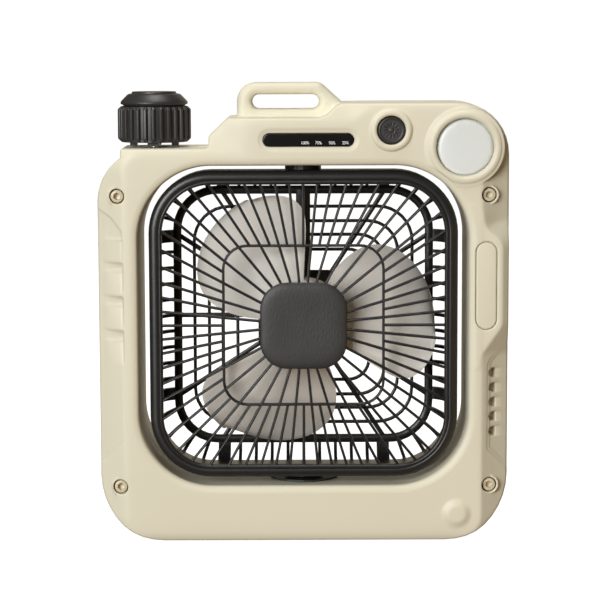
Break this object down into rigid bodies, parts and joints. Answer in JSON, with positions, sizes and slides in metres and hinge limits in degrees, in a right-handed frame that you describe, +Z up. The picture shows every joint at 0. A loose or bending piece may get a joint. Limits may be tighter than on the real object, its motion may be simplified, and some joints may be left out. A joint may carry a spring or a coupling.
{
  "type": "portable swivel fan",
  "caption": "Rechargeable camping fan: square fan head swivelling in a moulded carrying frame, with lamp, light button, level window and ribbed speed knob.",
  "frame": {"origin": "bottom centre of the whole fan, on the surface its rubber feet stand on", "axes": "+Z up, -Y out of the front grille, +X to the right seen from the front; the head swivels about Z and the wheel spins about Y"},
  "size_m": [0.225, 0.06, 0.252],
  "materials": {
    "cream_shell": "fine matt moulded, satin",
    "screw_steel": "beige coated socket head",
    "smoked_window": "gloss smoked acrylic",
    "circuit_board": "solder mask",
    "switch_metal": "stamped",
    "black_plastic": "fine textured",
    "knob_plastic": "satin moulded",
    "diffuser": "milky frosted",
    "white_reflector": "bright white",
    "battery_wrap": "shrink wrap",
    "rubber_foot": "matt",
    "blade_plastic": "translucent warm grey",
    "motor_metal": "drawn can"
  },
  "bodies": {
    "frame_body": {"front_shell": "cream_shell", "rear_shell": "cream_shell", "side_trim_panel": "cream_shell", "case_screw_top_left": "screw_steel", "case_screw_top_right": "screw_steel", "case_screw_bottom_left": "screw_steel", "case_screw_bottom_right": "screw_steel", "level_window": "smoked_window", "control_board": "circuit_board", "tact_switch": "switch_metal", "lamp_lens": "diffuser", "lamp_reflector": "white_reflector", "lamp_board": "circuit_board", "main_board": "circuit_board", "charging_socket": "switch_metal", "battery_cell_left_front": "battery_wrap", "battery_cell_left_rear": "battery_wrap", "battery_cell_right_front": "battery_wrap", "battery_cell_right_rear": "battery_wrap", "foot_left_front": "rubber_foot", "foot_right_front": "rubber_foot", "foot_left_rear": "rubber_foot", "foot_right_rear": "rubber_foot", "swivel_washer": "black_plastic", "speed_potentiometer": "switch_metal"},
    "light_button_body": {"light_button": "black_plastic"},
    "knob_body": {"speed_knob": "knob_plastic", "knob_cap": "knob_plastic", "knob_shaft": "switch_metal"},
    "head_body": {"front_grille": "black_plastic", "grille_cap": "black_plastic", "rear_grille": "black_plastic", "top_pivot": "black_plastic", "bottom_pivot": "black_plastic", "motor_can": "motor_metal"},
    "wheel_body": {"fan_wheel": "blade_plastic", "motor_shaft": "switch_metal", "wheel_nut": "switch_metal"}
  },
  "joints": [
    {"name": "head_swivel", "type": "hinge", "parent": "frame_body", "child": "head_body", "pos_m": [0, 0, 0.1202], "axis": [0, 0, 1], "range_deg": [-90, 90]},
    {"name": "wheel_spin", "type": "hinge", "parent": "head_body", "child": "wheel_body", "pos_m": [0, 0, 0.1202], "axis": [0, -1, 0], "continuous": true},
    {"name": "knob_turn", "type": "hinge", "parent": "frame_body", "child": "knob_body", "pos_m": [-0.0817, 0, 0.23], "axis": [0, 0, -1], "range_deg": [0, 270]},
    {"name": "light_button_press", "type": "slide", "parent": "frame_body", "child": "light_button_body", "axis": [0, 1, 0], "range_m": [0, 0.001], "stiffness_N_per_m": 1000}
  ]
}
